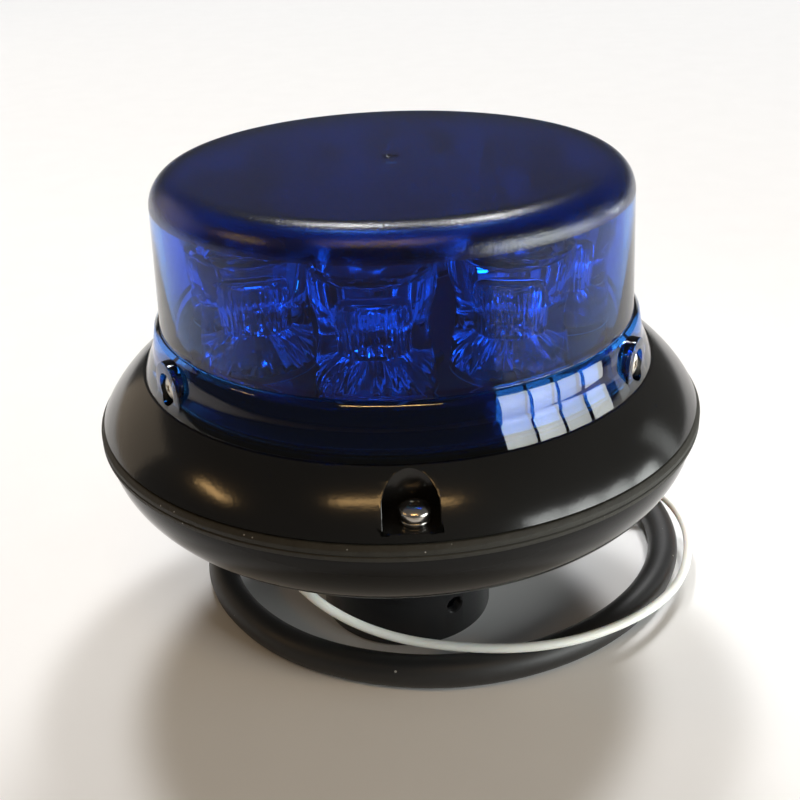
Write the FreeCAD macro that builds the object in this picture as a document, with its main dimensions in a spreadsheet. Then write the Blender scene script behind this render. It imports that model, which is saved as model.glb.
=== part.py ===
import FreeCAD, Part
import math
import os
import re

import Sketcher

# Blue LED warning beacon on a domed base with a pole socket.
# Millimetres, +Z up. The origin is the centre of the pole tube's lower end, which stands on the floor.
# The front of the beacon, where one bolt pocket shows, looks along -Y.

SIZES = {
    # Pole tube, the flange on it inside the pan and its set-screw hole
    "tube_radius": 22.0,
    "tube_wall": 2.7,
    "socket_depth": 40.0,
    "socket_stop": 3.0,
    "tube_edge": 0.6,
    "tube_drop": 44.1,
    "tube_clearance": 0.3,
    "flange_radius": 32.0,
    "flange_thickness": 3.0,
    "flange_screw_inset": 4.5,
    "side_hole_radius": 2.5,
    "side_hole_height": 9.6,
    "side_hole_angle": 31.0,
    # Lower pan
    "pan_height": 15.3,
    "pan_curve": 17.0,
    "pan_wall": 2.5,
    "pan_floor": 3.0,
    "lip_inset": 9.0,
    "lip_width": 2.6,
    "lip_depth": 1.4,
    "lip_slope": 0.4,
    "boss_radius": 4.6,
    "boss_depth": 9.0,
    "boss_floor": 1.0,
    "floor_tap_depth": 2.4,
    # Rubber gasket between the pan and the upper housing
    "gasket_thickness": 3.3,
    "gasket_proud": 0.9,
    "gasket_bevel": 0.9,
    "gasket_width": 11.0,
    # Upper housing: domed ring, arched bolt pockets, neck and deck
    "dome_height": 11.4,
    "dome_width": 10.4,
    "dome_curve": 27.0,
    "dome_wall": 12.7,
    "bolt_inset": 6.0,
    "shoulder_margin": 0.3,
    "pocket_width": 10.9,
    "pocket_side": 3.6,
    "pocket_floor": 1.9,
    "pocket_depth": 4.2,
    "neck_height": 8.5,
    "neck_lean": 3.2,
    "neck_wall": 1.4,
    "deck_drop": 3.6,
    "deck_thickness": 4.0,
    "deck_tap_depth": 3.3,
    "cavity_inset": 6.9,
    "cavity_step": 1.0,
    "wire_hole_radius": 8.0,
    "seal_height": 0.8,
    "seal_groove_width": 1.2,
    "seal_groove_depth": 1.8,
    "seal_section": 0.5,
    "seal_gap": 0.1,
    # Lens: wall, top rim, ledge, skirt that flares more below its bend, and screw ears
    "lens_radius": 55.4,
    "lens_taper": 1.3,
    "lens_wall": 2.3,
    "wall_height": 27.0,
    "rim_radius": 7.0,
    "skirt_height": 11.5,
    "skirt_lean": 1.4,
    "skirt_bend_height": 5.2,
    "skirt_bend_share": 0.13,
    "skirt_bend_curve": 6.0,
    "skirt_flare": 2.6,
    "skirt_wall": 3.1,
    "skirt_foot": 2.0,
    "ledge_width": 0.9,
    "ledge_round": 0.4,
    "lens_clearance": 0.3,
    "ear_width": 12.2,
    "ear_inset": 1.3,
    "ear_screw_height": 4.6,
    "counterbore_radius": 3.55,
    "counterbore_depth": 1.8,
    "gate_radius": 1.9,
    "gate_depth": 0.5,
    # Light engine
    "board_thickness": 1.6,
    "board_margin": 1.8,
    "optic_count": 8,
    "optic_angle": -8.8,
    "board_screw_inset": 11.0,
    "optic_gap": 0.6,
    "optic_spacing": 3.8,
    "optic_foot": 1.2,
    "optic_cone": 8.6,
    "optic_waist": 9.4,
    "optic_flare": 8.0,
    "optic_flare_curve": 12.8,
    "optic_rim": 1.2,
    "optic_waist_inset": 4.0,
    "optic_funnel_wall": 1.3,
    "optic_funnel_depth": 14.0,
    "optic_funnel_curve": 28.0,
    "optic_funnel_tip": 1.2,
    "optic_cup_radius": 4.2,
    "optic_cup_depth": 4.6,
    "led_side": 5.0,
    "led_base": 1.0,
    "led_dome": 1.7,
    # Driver electronics inside the pan
    "driver_radius": 46.0,
    "driver_thickness": 1.6,
    "driver_hole_radius": 9.0,
    "post_height": 9.0,
    "post_radius": 3.0,
    "post_inset": 6.0,
    "post_stud": 2.3,
    "post_angle": 45.0,
    "choke_radius": 9.5,
    "choke_hole": 4.5,
    "choke_height": 7.5,
    "capacitor_radius": 4.0,
    "capacitor_height": 11.0,
    "capacitor_spacing": 10.4,
    "terminal_length": 15.0,
    "terminal_width": 8.0,
    "terminal_height": 9.5,
    # Threaded fasteners: shank, shares of the head that shape its edge, and head and reach for each kind
    "screw_radius": 1.5,
    "screw_clearance": 0.2,
    "thread_gap": 0.05,
    "screw_point": 0.5,
    "screw_point_inset": 0.3,
    "head_crown": 0.62,
    "head_side": 0.45,
    "head_round": 0.75,
    "base_head_radius": 2.8,
    "base_head_height": 2.3,
    "washer_thickness": 0.9,
    "base_screw_reach": 12.0,
    "insert_radius": 2.4,
    "insert_height": 7.0,
    "lens_head_radius": 2.65,
    "lens_head_height": 1.4,
    "lens_screw_reach": 4.4,
    "small_head_radius": 2.75,
    "small_head_height": 2.0,
    "small_screw_reach": 4.6,
    # Cable gland and lead
    "gland_offset": 44.0,
    "gland_radius": 7.2,
    "gland_thread_radius": 6.0,
    "gland_height": 4.0,
    "gland_nose": 4.0,
    "gland_nose_radius": 5.6,
    "gland_nose_taper": 0.8,
    "gland_nose_lip": 1.0,
    "locknut_height": 3.0,
    "locknut_radius": 8.2,
    "cable_radius": 4.0,
    "core_radius": 1.0,
    "core_length": 16.0,
    "core_spread": 1.8,
    # Nylon tie
    "tie_radius": 1.15,
    "tie_head_width": 4.4,
}

# Heights and radii that several pieces share, written once in terms of the sizes above.
LIP = "tube_drop"
PAN_UNDER = "tube_drop + lip_depth"
PAN_FLOOR = PAN_UNDER + " + pan_floor"
PAN_TOP = "tube_drop + pan_height"
SEAM = PAN_TOP + " + gasket_thickness"
POCKET_FLOOR = SEAM + " + pocket_floor"
SHOULDER = SEAM + " + dome_height"
NECK_TOP = SHOULDER + " + neck_height"
DECK = NECK_TOP + " - deck_drop"
DECK_UNDER = DECK + " - deck_thickness"
BOARD_TOP = DECK + " + board_thickness"
SKIRT_BEND = SHOULDER + " + skirt_bend_height"
LEDGE = SHOULDER + " + skirt_height"
RIM = LEDGE + " + wall_height"
LENS_TOP = RIM + " + rim_radius"
EAR_SCREW = SHOULDER + " + ear_screw_height"
FLANGE_TOP = PAN_FLOOR + " + flange_thickness"
DRIVER_UNDER = PAN_FLOOR + " + post_height"
DRIVER_TOP = DRIVER_UNDER + " + driver_thickness"

LEDGE_R = "lens_radius + ledge_width"
BEND_R = LEDGE_R + " + skirt_lean"
SKIRT_R = BEND_R + " + skirt_flare"
SHOULDER_R = SKIRT_R + " + shoulder_margin"
BASE_R = SHOULDER_R + " + dome_width"
BOLT_R = BASE_R + " - bolt_inset"
LIP_R = BASE_R + " - lip_inset"
POCKET_BACK = BOLT_R + " - pocket_depth"
SKIRT_IN = SKIRT_R + " - skirt_wall"
NECK_R = SKIRT_IN + " - lens_clearance"
NECK_TOP_R = NECK_R + " - neck_lean"
NECK_IN = NECK_TOP_R + " - neck_wall"
WALL_IN = "lens_radius - lens_wall"
EAR_FACE = SKIRT_R + " - ear_inset"
EAR_SEAT = EAR_FACE + " - counterbore_depth"
HALF_STEP = "sin(180 / optic_count)"
OPTIC_RING = f"({WALL_IN} - lens_taper - optic_gap + optic_spacing / 2) / (1 + {HALF_STEP})"
OPTIC_R = f"({OPTIC_RING}) * {HALF_STEP} - optic_spacing / 2"
SOCKET_R = "tube_radius - tube_wall"
SCREW_HOLE = "screw_radius + screw_clearance"
FLANGE_SCREW_R = "flange_radius - flange_screw_inset"
POST_R = "driver_radius - post_inset"
BOARD_SCREW_R = f"({OPTIC_RING}) - board_screw_inset"
BOARD_SCREW_ANGLE = "optic_angle + 180 / optic_count"
GLAND_NOSE_END = PAN_UNDER + " - gland_height - gland_nose"

doc = FreeCAD.newDocument("warning_light")
sheet = doc.addObject("Spreadsheet::Sheet", "sizes")
for row, (alias, number) in enumerate(SIZES.items(), start=1):
    sheet.set(f"A{row}", alias)
    sheet.set(f"B{row}", str(number))
    sheet.setAlias(f"B{row}", alias)
doc.recompute()

NODES = []
# The least volume that a cut must take, and the share of a cord's straight run that an arc may use
LEAST_CUT = 0.01
CORNER_SHARE = 0.45


def on_sheet(text):
    """Turn the plain size names in an expression into references to the sheet."""
    return re.sub(r"[a-z][a-z_]*", lambda m: "sizes." + m[0] if m[0] in SIZES else m[0], text)


def value(text):
    """The number that an expression gives now."""
    return float(sheet.evalExpression(on_sheet(text)))


def bind(thing, prop, text):
    thing.setExpression(prop, on_sheet(text))


def new_body(label):
    body = doc.addObject("PartDesign::Body", label)
    body.Label = label
    NODES.append(body)
    return body


def origin_of(body, role):
    return next(f for f in body.Origin.OriginFeatures if f.Role == role)


def turn(body, degrees):
    """Turn a whole body about the beacon's axis."""
    body.Placement = FreeCAD.Placement(FreeCAD.Vector(), FreeCAD.Rotation(FreeCAD.Vector(0, 0, 1), 1))
    bind(body, "Placement.Rotation.Angle", degrees)


def sketch_on(body, role, x="0", y="0", out="0"):
    """A sketch on one of the body's planes, its origin moved by x and y in the plane and out along it."""
    sketch = body.newObject("Sketcher::SketchObject", body.Name + "_sketch")
    sketch.AttachmentSupport = [(origin_of(body, role), "")]
    sketch.MapMode = "FlatFace"
    for axis, text in (("x", x), ("y", y), ("z", out)):
        if text != "0":
            bind(sketch, "AttachmentOffset.Base." + axis, text)
    return sketch


def pin_point(sketch, geometry, end, x, y):
    """Hold one end of a sketch line or arc at x, y from the sketch's origin."""
    for kind, axis, text in (("DistanceX", -2, x), ("DistanceY", -1, y)):
        if text == "0":
            sketch.addConstraint(Sketcher.Constraint("PointOnObject", geometry, end, axis))
        else:
            index = sketch.addConstraint(Sketcher.Constraint(kind, -1, 1, geometry, end, value(text)))
            bind(sketch, f"Constraints[{index}]", text)


def add_arc(sketch, start, end, radius, bulge):
    """A minor arc from start to end that bulges to the right of its path (bulge 1) or to the left (-1)."""
    chord = end - start
    half = chord.Length / 2
    right = FreeCAD.Vector(chord.y, -chord.x, 0).normalize() * bulge
    centre = (start + end) * 0.5 - right * math.sqrt(max(radius**2 - half**2, 0.0))
    first, last = (start, end) if bulge > 0 else (end, start)
    angles = [math.atan2(p.y - centre.y, p.x - centre.x) for p in (first, last)]
    circle = Part.Circle(centre, FreeCAD.Vector(0, 0, 1), radius)
    return sketch.addGeometry(Part.ArcOfCircle(circle, angles[0], angles[1]))


def outline(sketch, points):
    """A closed outline. A point is (x, y), or (x, y, radius, bulge) where the next edge is an arc."""
    places = [FreeCAD.Vector(value(p[0]), value(p[1]), 0) for p in points]
    edges = []
    for i, point in enumerate(points):
        start, end = places[i], places[(i + 1) % len(points)]
        if len(point) == 2:
            edges.append((sketch.addGeometry(Part.LineSegment(start, end)), 1, 2))
        else:
            arc = add_arc(sketch, start, end, value(point[2]), point[3])
            edges.append((arc, 1, 2) if point[3] > 0 else (arc, 2, 1))
    for i, (edge, first, _) in enumerate(edges):
        previous, _, last = edges[i - 1]
        sketch.addConstraint(Sketcher.Constraint("Coincident", previous, last, edge, first))
        pin_point(sketch, edge, first, points[i][0], points[i][1])
        if len(points[i]) > 2:
            index = sketch.addConstraint(Sketcher.Constraint("Radius", edge, value(points[i][2])))
            bind(sketch, f"Constraints[{index}]", points[i][2])


def circle(sketch, radius, x="0", y="0"):
    """A circle in a sketch, its centre at x, y."""
    centre = FreeCAD.Vector(value(x), value(y), 0)
    geometry = sketch.addGeometry(Part.Circle(centre, FreeCAD.Vector(0, 0, 1), value(radius)))
    pin_point(sketch, geometry, 3, x, y)
    index = sketch.addConstraint(Sketcher.Constraint("Radius", geometry, value(radius)))
    bind(sketch, f"Constraints[{index}]", radius)


def feature(body, kind, sketch, **sizes):
    """A PartDesign feature made from one sketch."""
    made = body.newObject("PartDesign::" + kind, body.Name + "_" + kind.lower())
    made.Profile = sketch
    for prop, text in sizes.items():
        bind(made, prop, text)
    return made


def spin(body, sketch, axis="V_Axis", kind="Revolution"):
    made = feature(body, kind, sketch)
    made.ReferenceAxis = (sketch, [axis])
    made.Angle = 360
    doc.recompute()
    return made


def pad(body, sketch, length):
    made = feature(body, "Pad", sketch, Length=length)
    doc.recompute()
    return made


def pocket(body, sketch, length, outward):
    """Cut a sketch's shape out of a body, towards the sketch's face side (outward) or away from it."""
    before = body.Shape.Volume
    made = feature(body, "Pocket", sketch, Length=length)
    made.Reversed = outward
    doc.recompute()
    if before - made.Shape.Volume < LEAST_CUT:
        raise RuntimeError(made.Name + " cuts nothing")
    return made


def around(body, features, count):
    """Repeat features evenly about the beacon's axis."""
    pattern = body.newObject("PartDesign::PolarPattern", body.Name + "_pattern")
    pattern.Originals = features
    pattern.Axis = (origin_of(body, "Z_Axis"), [""])
    pattern.Angle = 360
    bind(pattern, "Occurrences", count)
    body.Tip = pattern
    doc.recompute()


def arch(width, side, foot):
    """Points of a round-topped opening: straight sides, then two quarter arcs."""
    half = f"{width} / 2"
    spring = f"{foot} + {side}"
    return [
        (f"-{half}", foot),
        (half, foot),
        (half, spring, half, 1),
        ("0", f"{spring} + {half}", half, 1),
        (f"-{half}", spring),
    ]


def hexagon(radius):
    """Corners of a six-sided outline with two corners on the sketch's x axis."""
    upper = [(f"{radius} * cos({angle})", f"{radius} * sin({angle})") for angle in (60, 120)]
    lower = [(x, f"-{y}") for x, y in reversed(upper)]
    return [(radius, "0"), *upper, (f"-{radius}", "0"), *lower]


def pan_head(shank, head, height, reach):
    """Half section of a pan-head screw whose seat is at height 0 and whose shank runs down."""
    return [
        ("0", f"-({reach})"),
        (f"{shank} - screw_point_inset", f"-({reach})"),
        (shank, f"-({reach}) + screw_point"),
        (shank, "0"),
        (head, "0"),
        (head, f"{height} * head_side", f"{height} * head_round", 1),
        (f"{head} * head_crown", height),
        ("0", height),
    ]


def screws(label, ring, seat, head, height, reach, count, angle="0"):
    """Equal pan-head screws on a circle about the axis, heads up, as one group of separate solids."""
    body = new_body(label)
    sketch = sketch_on(body, "XZ_Plane", y=seat, out=ring)
    outline(sketch, pan_head("screw_radius", head, height, reach))
    around(body, [spin(body, sketch)], count)
    if angle != "0":
        turn(body, angle)


def round_holes(body, ring, level, radius, depth, count, angle="0"):
    """Equal holes down from a level, on a circle about the axis, the first at an angle from the front."""
    sketch = sketch_on(body, "XY_Plane", out=level)
    across = "0" if angle == "0" else f"({ring}) * sin({angle})"
    circle(sketch, radius, x=across, y=f"-({ring}) * cos({angle})")
    around(body, [pocket(body, sketch, depth, False)], count)


def pole_tube():
    """Socket tube with a stop shoulder inside and a set-screw hole near its lower end."""
    body = new_body("pole_tube")
    sketch = sketch_on(body, "XZ_Plane")
    outline(
        sketch,
        [
            (f"{SOCKET_R} + tube_edge", "0"),
            ("tube_radius - tube_edge", "0"),
            ("tube_radius", "tube_edge"),
            ("tube_radius", FLANGE_TOP),
            (f"{SOCKET_R} - socket_stop", FLANGE_TOP),
            (f"{SOCKET_R} - socket_stop", "socket_depth"),
            (SOCKET_R, "socket_depth"),
            (SOCKET_R, "tube_edge"),
        ],
    )
    spin(body, sketch)
    hole = sketch_on(body, "XZ_Plane", out=f"{SOCKET_R} - socket_stop")
    circle(hole, "side_hole_radius", y="side_hole_height")
    pocket(body, hole, "tube_radius", True)
    turn(body, "side_hole_angle")


def tube_flange():
    """Flat ring pressed onto the tube's upper end and screwed to the pan's floor."""
    body = new_body("tube_flange")
    sketch = sketch_on(body, "XY_Plane", out=PAN_FLOOR)
    circle(sketch, "flange_radius")
    circle(sketch, "tube_radius + thread_gap")
    pad(body, sketch, "flange_thickness")
    round_holes(body, FLANGE_SCREW_R, FLANGE_TOP, SCREW_HOLE, "flange_thickness * 2", "4")
    turn(body, "side_hole_angle")


def lower_pan():
    """Curved pan with a thin lip underneath, a flat recessed floor and three bolt bosses."""
    body = new_body("lower_pan")
    hole = "tube_radius + tube_clearance"
    sketch = sketch_on(body, "XZ_Plane")
    outline(
        sketch,
        [
            (hole, PAN_UNDER),
            (f"{LIP_R} - lip_width", PAN_UNDER),
            (f"{LIP_R} - lip_width + lip_slope", LIP),
            (LIP_R, LIP, "pan_curve", 1),
            (BASE_R, PAN_TOP),
            (f"{BASE_R} - pan_wall", PAN_TOP, "pan_curve - pan_wall", -1),
            (f"{LIP_R} + pan_wall / 2", PAN_FLOOR),
            (hole, PAN_FLOOR),
        ],
    )
    spin(body, sketch)
    boss = sketch_on(body, "XY_Plane", out=f"{PAN_TOP} - boss_depth")
    circle(boss, "boss_radius", y=f"-({BOLT_R})")
    around(body, [pad(body, boss, "boss_depth")], "3")
    round_holes(body, BOLT_R, PAN_TOP, "insert_radius", "boss_depth - boss_floor", "3")
    round_holes(body, FLANGE_SCREW_R, PAN_FLOOR, "screw_radius", "floor_tap_depth", "4", "side_hole_angle")
    round_holes(body, POST_R, PAN_FLOOR, "screw_radius", "floor_tap_depth", "4", "post_angle")
    outlet = sketch_on(body, "XY_Plane", out=PAN_FLOOR)
    circle(outlet, "gland_thread_radius + screw_clearance", y="gland_offset")
    pocket(body, outlet, "pan_floor * 2", False)


def base_gasket():
    """Flat rubber ring whose outer edge stands proud of the seam, bevelled on both corners."""
    body = new_body("base_gasket")
    outer = f"{BASE_R} + gasket_proud"
    sketch = sketch_on(body, "XZ_Plane")
    outline(
        sketch,
        [
            (f"{BASE_R} - gasket_width", PAN_TOP),
            (f"{outer} - gasket_bevel / 2", PAN_TOP),
            (outer, f"{PAN_TOP} + gasket_bevel / 2"),
            (outer, f"{SEAM} - gasket_bevel"),
            (f"{outer} - gasket_bevel", SEAM),
            (f"{BASE_R} - gasket_width", SEAM),
        ],
    )
    spin(body, sketch)
    round_holes(body, BOLT_R, SEAM, SCREW_HOLE, "gasket_thickness * 2", "3")


def upper_housing():
    """Domed ring with three arched bolt pockets, a neck for the lens and the deck that carries the lights."""
    body = new_body("upper_housing")
    inner = f"{BASE_R} - dome_wall"
    cavity = f"{NECK_R} - cavity_inset"
    groove = f"{NECK_R} - seal_groove_depth"
    groove_low = f"{SHOULDER} + seal_height - seal_groove_width / 2"
    sketch = sketch_on(body, "XZ_Plane")
    outline(
        sketch,
        [
            (inner, SEAM),
            (BASE_R, SEAM, "dome_curve", 1),
            (SHOULDER_R, SHOULDER),
            (NECK_R, SHOULDER),
            (NECK_R, groove_low),
            (groove, groove_low),
            (groove, f"{groove_low} + seal_groove_width"),
            (NECK_R, f"{groove_low} + seal_groove_width"),
            (NECK_R, f"{SHOULDER} + skirt_foot - lens_clearance"),
            (NECK_TOP_R, NECK_TOP),
            (NECK_IN, NECK_TOP),
            (NECK_IN, DECK),
            ("wire_hole_radius", DECK),
            ("wire_hole_radius", DECK_UNDER),
            (cavity, DECK_UNDER),
            (cavity, f"{SHOULDER} - cavity_step"),
            (inner, f"{SHOULDER} - deck_thickness"),
        ],
    )
    spin(body, sketch)
    recess = sketch_on(body, "XZ_Plane", out=POCKET_BACK)
    outline(recess, arch("pocket_width", "pocket_side", POCKET_FLOOR))
    around(body, [pocket(body, recess, f"{BASE_R} - ({POCKET_BACK}) + gasket_proud", True)], "3")
    round_holes(body, BOLT_R, POCKET_FLOOR, SCREW_HOLE, "pocket_floor * 2", "3")
    tapped = sketch_on(body, "XZ_Plane", out=f"-({EAR_SEAT})")
    circle(tapped, "screw_radius", y=EAR_SCREW)
    around(body, [pocket(body, tapped, "lens_screw_reach + lens_clearance", True)], "3")
    round_holes(body, BOARD_SCREW_R, DECK, "screw_radius", "deck_tap_depth", "4", BOARD_SCREW_ANGLE)


def lens():
    """Clear blue cap: flat top with a round rim, a narrow ledge, a bent skirt and three ears."""
    body = new_body("lens")
    top_r = "lens_radius - lens_taper"
    upper_run = f"({LEDGE} - ({SKIRT_BEND}))"
    sketch = sketch_on(body, "XZ_Plane")
    outline(
        sketch,
        [
            ("0", SHOULDER),
            (SKIRT_R, SHOULDER),
            (
                f"{BEND_R} + skirt_flare * skirt_bend_share",
                f"{SKIRT_BEND} - skirt_bend_height * skirt_bend_share",
                "skirt_bend_curve",
                -1,
            ),
            (f"{BEND_R} - skirt_lean * skirt_bend_share", f"{SKIRT_BEND} + {upper_run} * skirt_bend_share"),
            (LEDGE_R, f"{LEDGE} - ledge_round", "ledge_round", 1),
            (f"{LEDGE_R} - ledge_round", LEDGE),
            ("lens_radius + ledge_round", LEDGE, "ledge_round", -1),
            ("lens_radius", f"{LEDGE} + ledge_round"),
            (top_r, RIM, "rim_radius", 1),
            (f"{top_r} - rim_radius", LENS_TOP),
            ("0", LENS_TOP),
        ],
    )
    spin(body, sketch)
    ear = sketch_on(body, "XZ_Plane", out=f"-({EAR_FACE})")
    outline(ear, arch("ear_width", "ear_screw_height", SHOULDER))
    around(body, [pad(body, ear, f"{EAR_FACE} - ({NECK_TOP_R})")], "3")
    hollow = sketch_on(body, "XZ_Plane")
    wall_top = f"{WALL_IN} - lens_taper"
    inside_round = "rim_radius - lens_wall"
    outline(
        hollow,
        [
            ("0", SHOULDER),
            (SKIRT_IN, SHOULDER),
            (SKIRT_IN, f"{SHOULDER} + skirt_foot"),
            (WALL_IN, LEDGE),
            (wall_top, RIM, inside_round, 1),
            (f"{wall_top} - ({inside_round})", f"{LENS_TOP} - lens_wall"),
            ("0", f"{LENS_TOP} - lens_wall"),
        ],
    )
    spin(body, hollow, kind="Groove")
    seat = sketch_on(body, "XZ_Plane", out=f"-({SKIRT_R})")
    circle(seat, "counterbore_radius", y=EAR_SCREW)
    sink = pocket(body, seat, f"{SKIRT_R} - ({EAR_SEAT})", True)
    hole = sketch_on(body, "XZ_Plane", out=f"-({SKIRT_R})")
    circle(hole, SCREW_HOLE, y=EAR_SCREW)
    around(body, [sink, pocket(body, hole, f"{SKIRT_R} - ({NECK_TOP_R})", True)], "3")
    gate = sketch_on(body, "XY_Plane", out=LENS_TOP)
    circle(gate, "gate_radius")
    pocket(body, gate, "gate_depth", False)


def lens_seal():
    """Rubber ring in the neck's groove, crowned where it meets the lens."""
    body = new_body("lens_seal")
    inside = f"{NECK_R} - seal_groove_depth"
    sketch = sketch_on(body, "XZ_Plane", y=f"{SHOULDER} + seal_height")
    outline(
        sketch,
        [
            (inside, "-seal_section"),
            (NECK_R, "-seal_section"),
            (f"{SKIRT_IN} - seal_gap", "0"),
            (NECK_R, "seal_section"),
            (inside, "seal_section"),
        ],
    )
    spin(body, sketch)


def lens_screws():
    """Three radial screws that hold the lens ears to the neck."""
    body = new_body("lens_screws")
    sketch = sketch_on(body, "YZ_Plane", x=EAR_SEAT, y=EAR_SCREW)
    points = pan_head("screw_radius - thread_gap", "lens_head_radius", "lens_head_height", "lens_screw_reach")
    outline(sketch, [(p[1], p[0], *p[2:3], *[-b for b in p[3:]]) for p in points])
    around(body, [spin(body, sketch, "H_Axis")], "3")


def spring_washers():
    """Split washers under the base screws."""
    body = new_body("spring_washers")
    sketch = sketch_on(body, "XZ_Plane", y=POCKET_FLOOR, out=BOLT_R)
    outline(
        sketch,
        [
            (SCREW_HOLE, "0"),
            ("base_head_radius", "0"),
            ("base_head_radius", "washer_thickness"),
            (SCREW_HOLE, "washer_thickness"),
        ],
    )
    ring = spin(body, sketch)
    split = sketch_on(body, "XZ_Plane", y=POCKET_FLOOR, out=BOLT_R)
    outline(
        split,
        [
            ("screw_radius - screw_clearance", "0"),
            ("base_head_radius + screw_clearance", "0"),
            ("base_head_radius + screw_clearance", "washer_thickness"),
            ("screw_radius - screw_clearance", "washer_thickness"),
        ],
    )
    around(body, [ring, pocket(body, split, "washer_thickness / 2", True)], "3")


def base_inserts():
    """Brass thread inserts pressed into the pan's bosses."""
    body = new_body("base_inserts")
    sketch = sketch_on(body, "XZ_Plane", y=f"{PAN_TOP} - insert_height", out=BOLT_R)
    outline(
        sketch,
        [
            ("screw_radius + thread_gap", "0"),
            ("insert_radius - thread_gap", "0"),
            ("insert_radius - thread_gap", "insert_height"),
            ("screw_radius + thread_gap", "insert_height"),
        ],
    )
    around(body, [spin(body, sketch)], "3")


def led_board():
    """Round light board on the deck."""
    body = new_body("led_board")
    sketch = sketch_on(body, "XY_Plane", out=DECK)
    circle(sketch, f"{NECK_IN} - board_margin")
    circle(sketch, "wire_hole_radius")
    pad(body, sketch, "board_thickness")
    round_holes(body, BOARD_SCREW_R, BOARD_TOP, SCREW_HOLE, "board_thickness * 2", "4", BOARD_SCREW_ANGLE)


def leds():
    """One light source under the middle of each optic: a square package with a clear dome."""
    body = new_body("leds")
    sketch = sketch_on(body, "XY_Plane", y=f"-({OPTIC_RING})", out=BOARD_TOP)
    half = "led_side / 2"
    outline(sketch, [(f"-{half}", f"-{half}"), (half, f"-{half}"), (half, half), (f"-{half}", half)])
    base = pad(body, sketch, "led_base")
    dome = sketch_on(body, "XZ_Plane", y=f"{BOARD_TOP} + led_base", out=OPTIC_RING)
    outline(dome, [("0", "0"), ("led_dome", "0", "led_dome", 1), ("0", "led_dome")])
    around(body, [base, spin(body, dome)], "optic_count")
    turn(body, "optic_angle")


def optic(index):
    """Clear side-throwing optic: lower cone, waist, upper flare, and a funnel sunk into its top."""
    body = new_body(f"optic_{index + 1}")
    cone_top = "optic_foot + optic_cone"
    waist_top = f"{cone_top} + optic_waist"
    flare_top = f"{waist_top} + optic_flare"
    top = f"{flare_top} + optic_rim"
    waist = f"{OPTIC_R} - optic_waist_inset"
    funnel = f"{OPTIC_R} - optic_funnel_wall"
    sketch = sketch_on(body, "XZ_Plane", y=BOARD_TOP, out=OPTIC_RING)
    outline(
        sketch,
        [
            ("optic_cup_radius", "0"),
            (OPTIC_R, "0"),
            (OPTIC_R, "optic_foot"),
            (waist, cone_top),
            (waist, waist_top, "optic_flare_curve", -1),
            (OPTIC_R, flare_top),
            (OPTIC_R, top),
            (funnel, top, "optic_funnel_curve", 1),
            ("optic_funnel_tip", f"{top} - optic_funnel_depth"),
            ("0", f"{top} - optic_funnel_depth"),
            ("0", "optic_cup_depth"),
            ("optic_cup_radius", "optic_cup_depth"),
        ],
    )
    spin(body, sketch)
    turn(body, f"optic_angle + {index} * 360 / optic_count")


def driver_board():
    """Round power board on four posts."""
    body = new_body("driver_board")
    sketch = sketch_on(body, "XY_Plane", out=DRIVER_UNDER)
    circle(sketch, "driver_radius")
    circle(sketch, "driver_hole_radius")
    pad(body, sketch, "driver_thickness")
    round_holes(body, POST_R, DRIVER_TOP, SCREW_HOLE, "driver_thickness * 2", "4", "post_angle")


def driver_posts():
    """Posts screwed into the pan's floor by a stud, with a tapped top that carries the power board."""
    body = new_body("driver_posts")
    stud = "screw_radius - thread_gap"
    tapped = "screw_radius + thread_gap"
    tapped_floor = "post_height - small_screw_reach"
    sketch = sketch_on(body, "XZ_Plane", y=PAN_FLOOR, out=POST_R)
    outline(
        sketch,
        [
            ("0", "-post_stud"),
            (stud, "-post_stud"),
            (stud, "0"),
            ("post_radius", "0"),
            ("post_radius", "post_height"),
            (tapped, "post_height"),
            (tapped, tapped_floor),
            ("0", tapped_floor),
        ],
    )
    around(body, [spin(body, sketch)], "4")
    turn(body, "post_angle")


def driver_choke():
    """Ring choke standing on the power board."""
    body = new_body("driver_choke")
    sketch = sketch_on(body, "XY_Plane", out=DRIVER_TOP)
    circle(sketch, "choke_radius", x="driver_radius / 2")
    circle(sketch, "choke_hole", x="driver_radius / 2")
    pad(body, sketch, "choke_height")


def driver_capacitors():
    """Two can capacitors on the power board."""
    body = new_body("driver_capacitors")
    for side in ("-", ""):
        sketch = sketch_on(body, "XY_Plane", out=DRIVER_TOP)
        circle(sketch, "capacitor_radius", x="-driver_radius / 2", y=f"{side}capacitor_spacing / 2")
        pad(body, sketch, "capacitor_height")


def terminal_block():
    """Screw terminals for the lead, on the power board above the gland."""
    block = doc.addObject("Part::Box", "terminal_block")
    block.Label = "terminal_block"
    bind(block, "Length", "terminal_length")
    bind(block, "Width", "terminal_width")
    bind(block, "Height", "terminal_height")
    bind(block, "Placement.Base.x", "-terminal_length / 2")
    bind(block, "Placement.Base.y", "driver_radius / 2")
    bind(block, "Placement.Base.z", DRIVER_TOP)
    NODES.append(block)


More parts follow.
